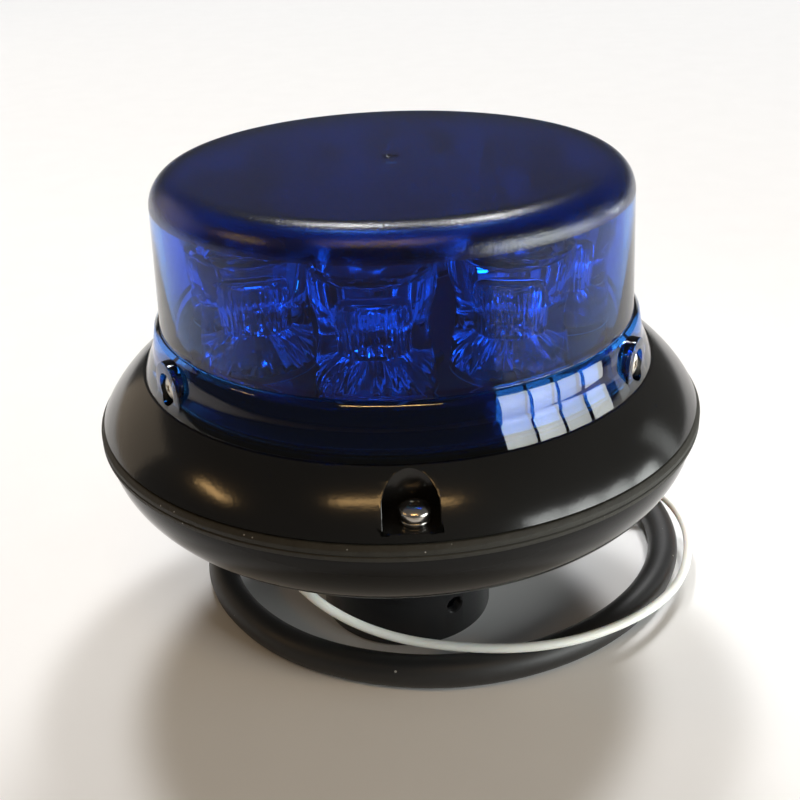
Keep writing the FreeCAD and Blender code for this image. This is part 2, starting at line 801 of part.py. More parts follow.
def cable_gland():
    """Gland under the pan: thread through the floor, six-sided collar and a tapered nose around the lead."""
    body = new_body("cable_gland")
    collar = sketch_on(body, "XY_Plane", y="gland_offset", out=f"{PAN_UNDER} - gland_height")
    outline(collar, hexagon("gland_radius"))
    pad(body, collar, "gland_height")
    thread_top = f"{PAN_FLOOR} + locknut_height"
    stem = sketch_on(body, "XZ_Plane", out="-gland_offset")
    outline(
        stem,
        [
            ("0", GLAND_NOSE_END),
            ("gland_nose_radius - gland_nose_taper", GLAND_NOSE_END),
            ("gland_nose_radius", f"{PAN_UNDER} - gland_height"),
            ("gland_nose_radius", f"{PAN_UNDER} - gland_height / 2"),
            ("gland_thread_radius", f"{PAN_UNDER} - gland_height / 2"),
            ("gland_thread_radius", thread_top),
            ("0", thread_top),
        ],
    )
    spin(body, stem)
    bore = sketch_on(body, "XY_Plane", y="gland_offset", out=thread_top)
    circle(bore, "cable_radius")
    pocket(body, bore, f"{thread_top} - ({GLAND_NOSE_END}) - gland_nose_lip", False)


def gland_locknut():
    """Nut on the gland's thread, inside the pan."""
    body = new_body("gland_locknut")
    sketch = sketch_on(body, "XY_Plane", y="gland_offset", out=PAN_FLOOR)
    outline(sketch, hexagon("locknut_radius"))
    circle(sketch, "gland_thread_radius + screw_clearance / 2")
    pad(body, sketch, "locknut_height")


def rounded_path(points):
    """Straight runs joined by tangent arcs, each arc as large as its two runs allow. Also gives the radii."""
    radii = []
    edges = []
    start = points[0]
    for before, corner, after in zip(points, points[1:], points[2:]):
        back = (before - corner).normalize()
        on = (after - corner).normalize()
        half_turn = (math.pi - back.getAngle(on)) / 2
        cut = CORNER_SHARE * min((before - corner).Length, (after - corner).Length)
        radii.append(cut / math.tan(half_turn))
        middle = (back + on).normalize()
        to_centre = radii[-1] / math.cos(half_turn)
        top = corner + middle * (to_centre - radii[-1])
        edges.append(Part.LineSegment(start, corner + back * cut).toShape())
        edges.append(Part.Arc(corner + back * cut, top, corner + on * cut).toShape())
        start = corner + on * cut
    edges.append(Part.LineSegment(start, points[-1]).toShape())
    return Part.Wire(edges), radii


def round_cord(label, points, radius):
    """A plain round cord along a route."""
    path, radii = rounded_path([FreeCAD.Vector(*p) for p in points])
    start = path.Edges[0].valueAt(path.Edges[0].FirstParameter)
    along = path.Edges[0].tangentAt(path.Edges[0].FirstParameter)
    section = Part.Wire([Part.Circle(start, along, radius).toShape()])
    cord = doc.addObject("Part::Feature", label)
    cord.Label = label
    cord.Shape = path.makePipeShell([section], True, False)
    NODES.append(cord)
    expected = math.pi * radius**2 * path.Length
    print(
        f"{label}: length {path.Length:.1f} mm, radii {min(radii):.1f} to {max(radii):.1f} mm,",
        f"volume {cord.Shape.Volume / expected:.4f} of section times length",
    )
    return path


# The lead drops from the gland behind the tube, lies round the front in one loop and ends behind the beacon.
LEAD_ROUTE = [
    (0, 44, 37.5),
    (0, 44, 28),
    (-3.5, 47, 18.5),
    (-12.5, 53.5, 10.5),
    (-26.5, 56.5, 5.6),
    (-40.5, 48.5, 4.1),
    (-49.5, 33, 4.1),
    (-51.5, 14, 4.1),
    (-46, -5, 4.1),
    (-33, -22.5, 4.1),
    (-15, -33.5, 4.1),
    (7, -38.5, 4.1),
    (30, -35, 4.1),
    (51, -23.5, 4.1),
    (67, -5, 4.1),
    (74.5, 17, 4.1),
    (72, 41, 4.1),
    (58, 61, 4.1),
    (37, 75, 4.1),
    (13, 82.5, 4.1),
    (-11, 85, 4.1),
    (-34, 83, 4.1),
    (-55, 76.5, 4.1),
]

# The nylon tie leaves its head behind the tube, comes round the left side down to the front, lies on the
# lead, turns up round the lead's right side and goes back behind the tube to its head.
TIE_ROUTE = [
    (-21.5, 36, 27),
    (-27.5, 28, 27),
    (-33, 15, 27.8),
    (-35, -2, 27.6),
    (-32, -18, 26),
    (-25, -27.5, 21.5),
    (-15, -30, 14.5),
    (-3, -32.6, 10.4),
    (10, -35.6, 9.6),
    (24, -37.6, 9.6),
    (38, -36, 9.5),
    (51, -30, 8.8),
    (62.5, -21, 7.4),
    (72, -9, 6.2),
    (78, 5, 6.0),
    (80, 18, 7.0),
    (76.5, 28.5, 9.8),
    (66.5, 33.5, 11.5),
    (53, 37, 13),
    (39, 42, 16),
    (26, 48.5, 20),
    (13, 54, 24),
    (0, 55.5, 26.5),
    (-11, 50, 27),
    (-18.5, 40, 27),
]


def supply_lead():
    """The round lead with its three stripped cores at the free end."""
    radius = value("cable_radius")
    path = round_cord("supply_cable", LEAD_ROUTE, radius)
    last = path.Edges[-1]
    end = last.valueAt(last.LastParameter)
    along = last.tangentAt(last.LastParameter)
    side = along.cross(FreeCAD.Vector(0, 0, 1)).normalize()
    up = side.cross(along)
    spread = value("core_spread")
    cores = []
    for k in range(3):
        angle = math.radians(90 + 120 * k)
        foot = end + side * (spread * math.cos(angle)) + up * (spread * math.sin(angle))
        cores.append(Part.makeCylinder(value("core_radius"), value("core_length"), foot, along))
    group = doc.addObject("Part::Feature", "cable_cores")
    group.Label = "cable_cores"
    group.Shape = Part.makeCompound(cores)
    NODES.append(group)


def cable_tie():
    """Thin nylon tie and its square locking head, which both ends meet."""
    round_cord("tie_strap", TIE_ROUTE, value("tie_radius"))
    start = FreeCAD.Vector(*TIE_ROUTE[-1])
    along = FreeCAD.Vector(*TIE_ROUTE[0]) - start
    width = value("tie_head_width")
    head = doc.addObject("Part::Feature", "tie_head")
    head.Label = "tie_head"
    head.Shape = Part.makeBox(along.Length, width, width)
    NODES.append(head)
    place = FreeCAD.Rotation(FreeCAD.Vector(1, 0, 0), along)
    corner = place.multVec(FreeCAD.Vector(0, -width / 2, -width / 2))
    head.Placement = FreeCAD.Placement(start + corner, place)


pole_tube()
tube_flange()
lower_pan()
base_gasket()
upper_housing()
lens()
lens_seal()
lens_screws()
spring_washers()
base_inserts()
screws("base_screws", BOLT_R, f"{POCKET_FLOOR} + washer_thickness", "base_head_radius",
       "base_head_height", "base_screw_reach", "3")
screws("flange_screws", FLANGE_SCREW_R, FLANGE_TOP, "small_head_radius",
       "small_head_height", "small_screw_reach", "4", "side_hole_angle")
screws("board_screws", BOARD_SCREW_R, BOARD_TOP, "small_head_radius",
       "small_head_height", "small_screw_reach", "4", BOARD_SCREW_ANGLE)
screws("driver_screws", POST_R, DRIVER_TOP, "small_head_radius",
       "small_head_height", "small_screw_reach", "4", "post_angle")
led_board()
leds()
for number in range(SIZES["optic_count"]):
    optic(number)
driver_board()
driver_posts()
driver_choke()
driver_capacitors()
terminal_block()
cable_gland()
gland_locknut()
supply_lead()
cable_tie()

doc.recompute()
for thing in doc.Objects:
    if "Invalid" in thing.State or "Error" in thing.State:
        raise RuntimeError(f"{thing.Label} failed: {thing.State}")
os.makedirs("parts", exist_ok=True)
for node in NODES:
    if node.Shape.isNull() or not node.Shape.isValid():
        raise RuntimeError(f"{node.Label} has no valid shape")
for node in NODES:
    node.Shape.exportStep(f"parts/{node.Label}.step")
print(len(NODES), "nodes")
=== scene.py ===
import bmesh
import bpy
import math
from mathutils import Euler, Matrix, Vector


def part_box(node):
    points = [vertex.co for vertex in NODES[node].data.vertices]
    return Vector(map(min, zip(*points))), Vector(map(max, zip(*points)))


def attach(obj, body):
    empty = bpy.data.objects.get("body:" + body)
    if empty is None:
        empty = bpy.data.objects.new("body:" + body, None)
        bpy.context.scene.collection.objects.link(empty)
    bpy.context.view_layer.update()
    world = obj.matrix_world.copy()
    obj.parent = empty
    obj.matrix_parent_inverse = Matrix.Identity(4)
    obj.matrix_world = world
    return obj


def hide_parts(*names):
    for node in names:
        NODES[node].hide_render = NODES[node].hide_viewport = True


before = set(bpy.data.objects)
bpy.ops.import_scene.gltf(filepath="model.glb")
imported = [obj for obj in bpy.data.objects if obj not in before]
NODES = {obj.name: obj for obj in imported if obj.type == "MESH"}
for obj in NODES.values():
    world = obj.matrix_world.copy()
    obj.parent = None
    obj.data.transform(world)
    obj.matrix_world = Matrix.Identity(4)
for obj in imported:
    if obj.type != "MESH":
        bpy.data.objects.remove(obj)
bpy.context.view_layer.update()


# Pole tube: the black coated aluminium socket that the beacon stands on. It is turned from tube,
# drilled through the wall and tapped for a set screw. The tapped hole is empty.
MM = 0.001
TUBE_R = 22.0
SOCKET_R = 19.3
SOCKET_DEPTH = 40.0
STOP_R = 16.3
TUBE_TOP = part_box("pole_tube")[1].z / MM
TUBE_EDGE = 0.6
SIDE_HOLE_ANGLE = 31.0
SIDE_HOLE_HEIGHT = 9.6
THREAD_R = 2.45
THREAD_CREST_R = 2.1
THREAD_PITCH = 0.8
THREAD_SPARE = 2
# Distances in metres at which two vertices count as one, and how finely a rounded corner is divided
NEAR = 1e-7
WELD = 1e-6
ARC_STEP = 0.6
ARC_LARGEST_R = 10
ARC_LEAST_STEPS = 3
# Sockets of a colour mix, the reach of a bump in metres and the colour of dust
MIX_FROM, MIX_TO, MIX_RESULT = 6, 7, 2
BUMP_REACH = 0.0002
DUST_COLOUR = (0.32, 0.31, 0.29, 1)


def take(obj):
    """Make a piece the only one that is selected, and the active one."""
    bpy.ops.object.select_all(action="DESELECT")
    obj.select_set(True)
    bpy.context.view_layer.objects.active = obj


def pick(obj, test):
    """In edit mode, select just the vertices whose place passes a test."""
    mesh = bmesh.from_edit_mesh(obj.data)
    bpy.ops.mesh.select_mode(type="VERT")
    bpy.ops.mesh.select_all(action="DESELECT")
    for vertex in mesh.verts:
        vertex.select_set(test(vertex.co))
    mesh.select_flush_mode()
    bmesh.update_edit_mesh(obj.data)


def turned(name, corners, steps, closed=True):
    """Turn an outline round the Z axis. A corner is (radius, height) in mm, with a rounding where it has one."""
    bpy.ops.object.select_all(action="DESELECT")
    bpy.ops.mesh.primitive_plane_add(size=MM)
    obj = bpy.context.object
    obj.name = name
    places = [Vector((corner[0] * MM, 0, corner[1] * MM)) for corner in corners]
    bpy.ops.object.mode_set(mode="EDIT")
    bpy.ops.mesh.select_all(action="SELECT")
    bpy.ops.mesh.merge(type="CENTER")
    bpy.ops.transform.translate(value=places[0])
    for before, after in zip(places, places[1:]):
        bpy.ops.mesh.extrude_vertices_move(TRANSFORM_OT_translate={"value": after - before})
    if closed:
        pick(obj, lambda spot: min((spot - places[0]).length, (spot - places[-1]).length) < NEAR)
        bpy.ops.mesh.edge_face_add()
    for here, corner, back, on in zip(places, corners, places[-1:] + places, places[1:] + places[:1]):
        if len(corner) == 3:
            bend = math.pi - (back - here).angle(on - here)
            pick(obj, lambda spot: (spot - here).length < NEAR)
            bpy.ops.mesh.bevel(
                affect="VERTICES",
                offset=corner[2] * MM * math.tan(bend / 2),
                segments=max(ARC_LEAST_STEPS, round(bend * min(corner[2], ARC_LARGEST_R) / ARC_STEP)),
                clamp_overlap=False,
            )
    bpy.ops.mesh.select_all(action="SELECT")
    bpy.ops.mesh.spin(steps=steps, angle=math.tau, center=(0, 0, 0), axis=(0, 0, 1))
    bpy.ops.mesh.select_all(action="SELECT")
    bpy.ops.mesh.remove_doubles(threshold=WELD)
    bpy.ops.mesh.normals_make_consistent(inside=False)
    bpy.ops.object.mode_set(mode="OBJECT")
    return obj


def place(obj, matrix):
    """Move a finished mesh, and leave its object at the origin."""
    obj.data.transform(matrix)
    obj.data.update()
    return obj


def round_about(degrees):
    """A turn about the beacon's axis, from the front."""
    return Matrix.Rotation(math.radians(degrees), 4, "Z")


def facing_front(distance, height):
    """The place of an upright tool or screw that is laid down to look forwards, in mm from the axis and up."""
    return Matrix.Translation((0, -distance * MM, height * MM)) @ Matrix.Rotation(math.pi / 2, 4, "X")


def combine(obj, tool, operation):
    """Cut a tool out of a piece, or add it, and use the tool up."""
    change = obj.modifiers.new(operation.lower(), "BOOLEAN")
    change.object = tool
    change.operation = operation
    change.solver = "EXACT"
    take(obj)
    bpy.ops.object.modifier_apply(modifier=change.name)
    bpy.data.objects.remove(tool)


def smooth(obj, degrees=30):
    """Smooth shading, with creases where faces meet at more than an angle."""
    take(obj)
    bpy.ops.object.shade_smooth_by_angle(angle=math.radians(degrees))


def fit(obj, node, slot, *materials):
    """Finish a piece: smooth it, paint it, and let it stand for its CAD node."""
    smooth(obj)
    obj.data.materials.clear()
    for material in materials:
        obj.data.materials.append(material)
    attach(obj, "root")
    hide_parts(node)


def new_group(name, inputs, outputs):
    """An empty node group with named number inputs and outputs."""
    group = bpy.data.node_groups.new(name, "ShaderNodeTree")
    for label, start in inputs.items():
        socket = group.interface.new_socket(label, in_out="INPUT", socket_type="NodeSocketFloat")
        socket.default_value = start
    for label in outputs:
        group.interface.new_socket(label, in_out="OUTPUT", socket_type="NodeSocketFloat")
    return group, group.nodes.new("NodeGroupInput"), group.nodes.new("NodeGroupOutput")


def add(tree, kind, inputs=(), **settings):
    """Add a node. An input is a number, a colour, or another node's output to join to it."""
    made = tree.nodes.new(kind)
    for name, setting in settings.items():
        setattr(made, name, setting)
    for name, given in dict(inputs).items():
        if isinstance(given, bpy.types.NodeSocket):
            tree.links.new(given, made.inputs[name])
        else:
            made.inputs[name].default_value = given
    return made


def make_grain():
    """Moulding or casting grain: a height for bumps and a slower, blotchy share for gloss and tint."""
    group, given, result = new_group("Surface grain", {"Grain": 900.0, "Patches": 40.0}, ("Height", "Patch"))
    at = add(group, "ShaderNodeTexCoord").outputs["Object"]
    fine = add(group, "ShaderNodeTexNoise", {"Vector": at, "Scale": given.outputs["Grain"], "Detail": 3.0})
    slow = add(group, "ShaderNodeTexNoise", {"Vector": at, "Scale": given.outputs["Patches"], "Detail": 4.0})
    group.links.new(fine.outputs["Fac"], result.inputs["Height"])
    group.links.new(slow.outputs["Fac"], result.inputs["Patch"])
    return group


def make_dust():
    """Sparse pale specks, as dust and lint lie on dark plastic: 1 on a speck and 0 beside it."""
    group, given, result = new_group("Dust specks", {"Scale": 260.0, "Size": 0.07, "Share": 0.62}, ("Speck",))

    def reckon(operation, first, second):
        return add(group, "ShaderNodeMath", {0: first, 1: second}, operation=operation).outputs[0]

    at = add(group, "ShaderNodeTexCoord").outputs["Object"]
    cells = add(group, "ShaderNodeTexVoronoi", {"Vector": at, "Scale": given.outputs["Scale"]})
    split = add(group, "ShaderNodeSeparateColor", {"Color": cells.outputs["Color"]})
    inside = reckon("LESS_THAN", cells.outputs["Distance"], given.outputs["Size"])
    chosen = reckon("GREATER_THAN", split.outputs["Red"], given.outputs["Share"])
    group.links.new(reckon("MULTIPLY", inside, chosen), result.inputs["Speck"])
    return group


GRAIN = make_grain()
DUST = make_dust()


def finish(name, dark, light, rough, grain=900.0, bump=0.1, patches=40.0, dust=None, **plain):
    """A material between two tints, with grain, uneven gloss and, where it has some, dust."""
    material = bpy.data.materials.new(name)
    material.use_nodes = True
    tree = material.node_tree
    shader = tree.nodes["Principled BSDF"]
    for label, number in plain.items():
        shader.inputs[label.replace("_", " ").title().replace("Ior", "IOR")].default_value = number
    surface = add(tree, "ShaderNodeGroup", {"Grain": grain, "Patches": patches}, node_tree=GRAIN)
    height, patch = surface.outputs["Height"], surface.outputs["Patch"]
    tints = {"Factor": patch, MIX_FROM: (*dark, 1), MIX_TO: (*light, 1)}
    colour = add(tree, "ShaderNodeMix", tints, data_type="RGBA").outputs[MIX_RESULT]
    if dust:
        specks = add(tree, "ShaderNodeGroup", dust, node_tree=DUST)
        tints = {"Factor": specks.outputs["Speck"], MIX_FROM: colour, MIX_TO: DUST_COLOUR}
        colour = add(tree, "ShaderNodeMix", tints, data_type="RGBA").outputs[MIX_RESULT]
    tree.links.new(colour, shader.inputs["Base Color"])
    gloss = add(tree, "ShaderNodeMapRange", {"Value": patch, "To Min": rough[0], "To Max": rough[1]})
    tree.links.new(gloss.outputs["Result"], shader.inputs["Roughness"])
    dents = add(tree, "ShaderNodeBump", {"Height": height, "Strength": bump, "Distance": BUMP_REACH})
    tree.links.new(dents.outputs["Normal"], shader.inputs["Normal"])
    return material


tube = turned(
    "tube",
    [
        (SOCKET_R, 0, TUBE_EDGE),
        (TUBE_R, 0, TUBE_EDGE),
        (TUBE_R, TUBE_TOP),
        (STOP_R, TUBE_TOP),
        (STOP_R, SOCKET_DEPTH),
        (SOCKET_R, SOCKET_DEPTH),
    ],
    steps=144,
)
turns = int((TUBE_R - STOP_R) / THREAD_PITCH) + THREAD_SPARE
ridges = [
    corner
    for k in range(turns)
    for corner in ((THREAD_R, k * THREAD_PITCH), (THREAD_CREST_R, (k + 0.5) * THREAD_PITCH))
]
tap = turned("tap", [(0, 0), *ridges, (0, (turns - 0.5) * THREAD_PITCH)], steps=48, closed=False)
place(tap, facing_front(STOP_R, SIDE_HOLE_HEIGHT))
place(tap, round_about(SIDE_HOLE_ANGLE))
combine(tube, tap, "DIFFERENCE")
coated = finish(
    "black coated aluminium", (0.012, 0.012, 0.013), (0.022, 0.022, 0.023), (0.16, 0.24),
    grain=1400.0, bump=0.12, specular_ior_level=0.55,
)
fit(tube, "pole_tube", "tube_black", coated)


# Tube flange and its screws: a flat ring pressed onto the tube inside the pan, coated like the tube,
# and four small steel screws that hold it to the pan's floor.
steel = finish(
    "plated steel", (0.5, 0.48, 0.45), (0.72, 0.69, 0.64), (0.14, 0.3),
    grain=2600.0, bump=0.05, metallic=1.0,
)


def keep(node, material):
    """Leave a CAD node as it is, with a better material."""
    mesh = NODES[node].data
    mesh.materials.clear()
    mesh.materials.append(material)


keep("tube_flange", coated)
keep("flange_screws", steel)


# Lower pan: glossy black moulding, curved outside like a bowl, with a thin lip round its recessed underside.
# The tube's flange, the power board's posts and the cable gland are fixed to its floor.
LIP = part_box("lower_pan")[0].z / MM
PAN_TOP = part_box("lower_pan")[1].z / MM
BASE_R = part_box("lower_pan")[1].x / MM
LIP_R = 62.0
LIP_WIDTH = 2.6
LIP_DEPTH = 1.4
LIP_SLOPE = 0.4
LIP_ROUND = 0.4
PAN_CURVE = 17.0
PAN_WALL = 2.5
PAN_FLOOR = 3.0
TUBE_HOLE_R = 22.3
OUTLET_R = 6.2
OUTLET_DEPTH = 8
OUTLET_DROP = 5


def arc_corner(start, end, radius, side):
    """Where the tangents of an arc from start to end meet. Side is 1 for a bulge to the right of the path."""
    run = Vector(end) - Vector(start)
    half = math.asin(run.length / 2 / radius)
    ahead = run.normalized()
    right = Vector((ahead.y, -ahead.x))
    middle = (Vector(start) + Vector(end)) / 2 + right * (side * run.length / 2 * math.tan(half))
    return (middle.x, middle.y, radius)


pan = turned(
    "pan",
    [
        (TUBE_HOLE_R, LIP + LIP_DEPTH),
        (LIP_R - LIP_WIDTH, LIP + LIP_DEPTH, LIP_ROUND),
        (LIP_R - LIP_WIDTH + LIP_SLOPE, LIP, LIP_ROUND),
        (LIP_R, LIP),
        arc_corner((LIP_R, LIP), (BASE_R, PAN_TOP), PAN_CURVE, 1),
        (BASE_R, PAN_TOP),
        (BASE_R - PAN_WALL, PAN_TOP),
        (LIP_R + PAN_WALL / 2, LIP + LIP_DEPTH + PAN_FLOOR),
        (TUBE_HOLE_R, LIP + LIP_DEPTH + PAN_FLOOR),
    ],
    steps=192,
)
gland_low, gland_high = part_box("cable_gland")
bpy.ops.mesh.primitive_cylinder_add(
    vertices=64,
    radius=OUTLET_R * MM,
    depth=OUTLET_DEPTH * MM,
    location=(0, (gland_low.y + gland_high.y) / 2, gland_high.z - OUTLET_DROP * MM),
)
outlet = bpy.context.object
bpy.ops.object.transform_apply()
combine(pan, outlet, "DIFFERENCE")
glossy_black = finish(
    "glossy black moulding", (0.007, 0.007, 0.007), (0.011, 0.0108, 0.0104), (0.1, 0.16),
    grain=1500.0, bump=0.04, dust={"Scale": 420.0, "Size": 0.04, "Share": 0.97}, ior=1.25,
)
fit(pan, "lower_pan", "pan_black", glossy_black)


# Cable gland and its nut: six-sided black coated gland screwed through the pan's floor behind the tube,
# with a tapered nose that grips the lead.
keep("cable_gland", coated)
keep("gland_locknut", coated)


# Power board: the driver that feeds the lights, on brass posts inside the pan, with its choke, capacitors
# and screw terminals. The housing hides all of it, and the brass threads in the pan's bosses too.
board_mask = finish(
    "black solder mask", (0.006, 0.008, 0.007), (0.012, 0.015, 0.013), (0.3, 0.45), grain=700.0, bump=0.2,
)
brass = finish(
    "machined brass", (0.55, 0.38, 0.14), (0.72, 0.52, 0.22), (0.2, 0.35),
    grain=2000.0, bump=0.05, metallic=1.0,
)
wound_core = finish(
    "wound core", (0.16, 0.06, 0.02), (0.3, 0.12, 0.04), (0.35, 0.5), grain=300.0, bump=0.4,
)
can_sleeve = finish(
    "capacitor sleeve", (0.02, 0.022, 0.03), (0.04, 0.042, 0.055), (0.25, 0.4), grain=800.0, bump=0.05,
)
terminal_green = finish(
    "green terminal moulding", (0.03, 0.18, 0.06), (0.05, 0.26, 0.09), (0.35, 0.5), grain=900.0, bump=0.1,
)
keep("driver_board", board_mask)
keep("driver_posts", brass)
keep("driver_screws", steel)
keep("driver_choke", wound_core)
keep("driver_capacitors", can_sleeve)
keep("terminal_block", terminal_green)
keep("base_inserts", brass)


# Base gasket: moulded rubber ring between the pan and the upper housing. Its edge stands a little proud
# of both, bevelled above, with a fine groove round its middle. The rubber is dull and speckled.
GASKET_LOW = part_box("base_gasket")[0].z / MM
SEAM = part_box("base_gasket")[1].z / MM
GASKET_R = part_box("base_gasket")[1].x / MM
GASKET_WIDTH = 11.9
GASKET_BEVEL = 0.9
GASKET_ROUND = 0.3
GROOVE_DEPTH = 0.3
GROOVE_HALF = 0.25
GROOVE_HEIGHT = (GASKET_LOW + SEAM - GASKET_BEVEL) / 2
gasket = turned(
    "gasket",
    [
        (GASKET_R - GASKET_WIDTH, GASKET_LOW),
        (GASKET_R, GASKET_LOW, GASKET_ROUND),
        (GASKET_R, GROOVE_HEIGHT - GROOVE_HALF),
        (GASKET_R - GROOVE_DEPTH, GROOVE_HEIGHT),
        (GASKET_R, GROOVE_HEIGHT + GROOVE_HALF),
        (GASKET_R, SEAM - GASKET_BEVEL, GASKET_ROUND),
        (GASKET_R - GASKET_BEVEL, SEAM, GASKET_ROUND),
        (GASKET_R - GASKET_WIDTH, SEAM),
    ],
    steps=192,
)
rubber = finish(
    "dull black rubber", (0.014, 0.0135, 0.011), (0.04, 0.038, 0.03), (0.5, 0.7),
    grain=1600.0, bump=0.6, patches=400.0, dust={"Scale": 600.0, "Size": 0.1, "Share": 0.86}, ior=1.4,
)
fit(gasket, "base_gasket", "rubber_black", rubber)


# Upper housing: satin black moulded ring with a domed flank, a chamfered foot on the gasket, three arched
# screw pockets with softened edges, and a neck that the lens fits over.
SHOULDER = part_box("lens")[0].z / MM
NECK_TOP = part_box("upper_housing")[1].z / MM
SHOULDER_R = 60.6
DOME_CURVE = 27.0
FOOT_CHAMFER = 0.5
NECK_R = 56.9
NECK_FOOT = 75.8
NECK_TOP_R = 53.7
NECK_IN = 52.3
DECK = 79.0
DECK_UNDER = 75.0
DOME_IN = 58.3
DOME_IN_DROP = 4
CAVITY_R = 50.0
WIRE_HOLE_R = 8.0
BOLT_R = 65.0
POCKET_ANGLES = (0, 120, 240)
POCKET_BACK = 60.8
POCKET_FRONT = BASE_R + 2
POCKET_WIDTH = 11.2
POCKET_HEIGHT = 9.25
POCKET_TURN = -0.7
POCKET_FLOOR = 64.6
POCKET_EDGE = 0.3
# Which edges of the housing are the rims of its pockets: how sharp, how far out, and between which heights
RIM_SHARP = 35
RIM_FROM = POCKET_BACK + 1
RIM_LOW = POCKET_FLOOR - 0.1
RIM_HIGH = SHOULDER - 0.5


def arched_block(width, height, foot, near, far):
    """A round-topped block in front of the axis: foot is its underside, near and far its distances."""
    bpy.ops.object.select_all(action="DESELECT")
    bpy.ops.mesh.primitive_plane_add(size=1, rotation=(math.pi / 2, 0, 0))
    block = bpy.context.object
    block.scale = (width * MM, height * MM, 1)
    block.location = (0, -near * MM, (foot + height / 2) * MM)
    bpy.ops.object.transform_apply()
    bpy.ops.object.mode_set(mode="EDIT")
    pick(block, lambda spot: spot.z > (foot + height / 2) * MM)
    bpy.ops.mesh.bevel(affect="VERTICES", offset=width / 2 * MM, segments=20, clamp_overlap=False)
    bpy.ops.mesh.select_all(action="SELECT")
    bpy.ops.mesh.remove_doubles(threshold=WELD)
    bpy.ops.mesh.select_all(action="SELECT")
    bpy.ops.mesh.extrude_region_move(TRANSFORM_OT_translate={"value": (0, (near - far) * MM, 0)})
    bpy.ops.mesh.select_all(action="SELECT")
    bpy.ops.mesh.normals_make_consistent(inside=False)
    bpy.ops.object.mode_set(mode="OBJECT")
    return block


def copy_at(obj, matrix):
    """A copy of a piece or a tool with its own mesh, moved to its place."""
    copy = obj.copy()
    copy.data = obj.data.copy()
    bpy.context.collection.objects.link(copy)
    return place(copy, matrix)


def on_pocket_rim(edge):
    """An outer edge of a pocket, where it opens through the dome."""
    if not edge.is_convex or edge.calc_face_angle(0) <= math.radians(RIM_SHARP):
        return False
    return all(
        spot.co.xy.length > RIM_FROM * MM and RIM_LOW < spot.co.z / MM < RIM_HIGH for spot in edge.verts
    )


housing = turned(
    "housing",
    [
        (DOME_IN, SEAM),
        (BASE_R - FOOT_CHAMFER, SEAM),
        (BASE_R, SEAM + FOOT_CHAMFER),
        arc_corner((BASE_R, SEAM + FOOT_CHAMFER), (SHOULDER_R, SHOULDER), DOME_CURVE, 1),
        (SHOULDER_R, SHOULDER),
        (NECK_R, SHOULDER),
        (NECK_R, NECK_FOOT),
        (NECK_TOP_R, NECK_TOP),
        (NECK_IN, NECK_TOP),
        (NECK_IN, DECK),
        (WIRE_HOLE_R, DECK),
        (WIRE_HOLE_R, DECK_UNDER),
        (CAVITY_R, DECK_UNDER),
        (DOME_IN, SHOULDER - DOME_IN_DROP),
    ],
    steps=168,
)
cutter = arched_block(POCKET_WIDTH, POCKET_HEIGHT, POCKET_FLOOR, POCKET_BACK, POCKET_FRONT)
for angle in POCKET_ANGLES:
    combine(housing, copy_at(cutter, round_about(angle + POCKET_TURN)), "DIFFERENCE")
bpy.data.objects.remove(cutter)
bpy.ops.object.mode_set(mode="EDIT")
bpy.ops.mesh.select_mode(type="EDGE")
bpy.ops.mesh.select_all(action="DESELECT")
for edge in bmesh.from_edit_mesh(housing.data).edges:
    edge.select_set(on_pocket_rim(edge))
bmesh.update_edit_mesh(housing.data)
bpy.ops.mesh.bevel(affect="EDGES", offset=POCKET_EDGE * MM, segments=3, clamp_overlap=False)
bpy.ops.mesh.select_mode(type="VERT")
bpy.ops.object.mode_set(mode="OBJECT")
satin_black = finish(
    "satin black moulding", (0.008, 0.0078, 0.0072), (0.013, 0.0126, 0.0116), (0.13, 0.19),
    grain=1100.0, bump=0.08, dust={"Scale": 420.0, "Size": 0.04, "Share": 0.97},
)
fit(housing, "upper_housing", "housing_black", satin_black)


# Base screws on split washers: plated steel pan heads with a cross recess, one in each pocket.
# They draw the housing and the pan together over the gasket.
HEAD_R = 3.3
HEAD_HEIGHT = 2.8
SHANK_R = 1.5
SHANK = 12.0
BASE_SCREW_TWISTS = (38, 10, 65)
# The point of a shank, the rounding of a head's seat and the rise of its middle; then shares of a head's
# height and radius at which its side and its crown turn, and their roundings
POINT = 0.5
POINT_INSET = 0.3
SEAT_ROUND = 0.2
HEAD_RISE = 0.05
HEAD_SIDE, HEAD_SIDE_ROUND = 0.62, 0.3
HEAD_CROWN, HEAD_CROWN_ROUND = 0.62, 0.7
RECESS = 1.4
RECESS_LONG = 3.2
RECESS_WIDE = 0.75
RECESS_PROUD = 0.1
RECESS_TAPER = (0.45, 0.8, 1)
WASHER = 0.9
WASHER_HOLE_R = SHANK_R + 0.2
WASHER_ROUND_IN = 0.15
WASHER_ROUND_OUT = 0.2
WASHER_TWISTS = (150, 40, 200)
SPLIT_SIZE = (2, 0.35, 3)
SPLIT_SLANT = 25


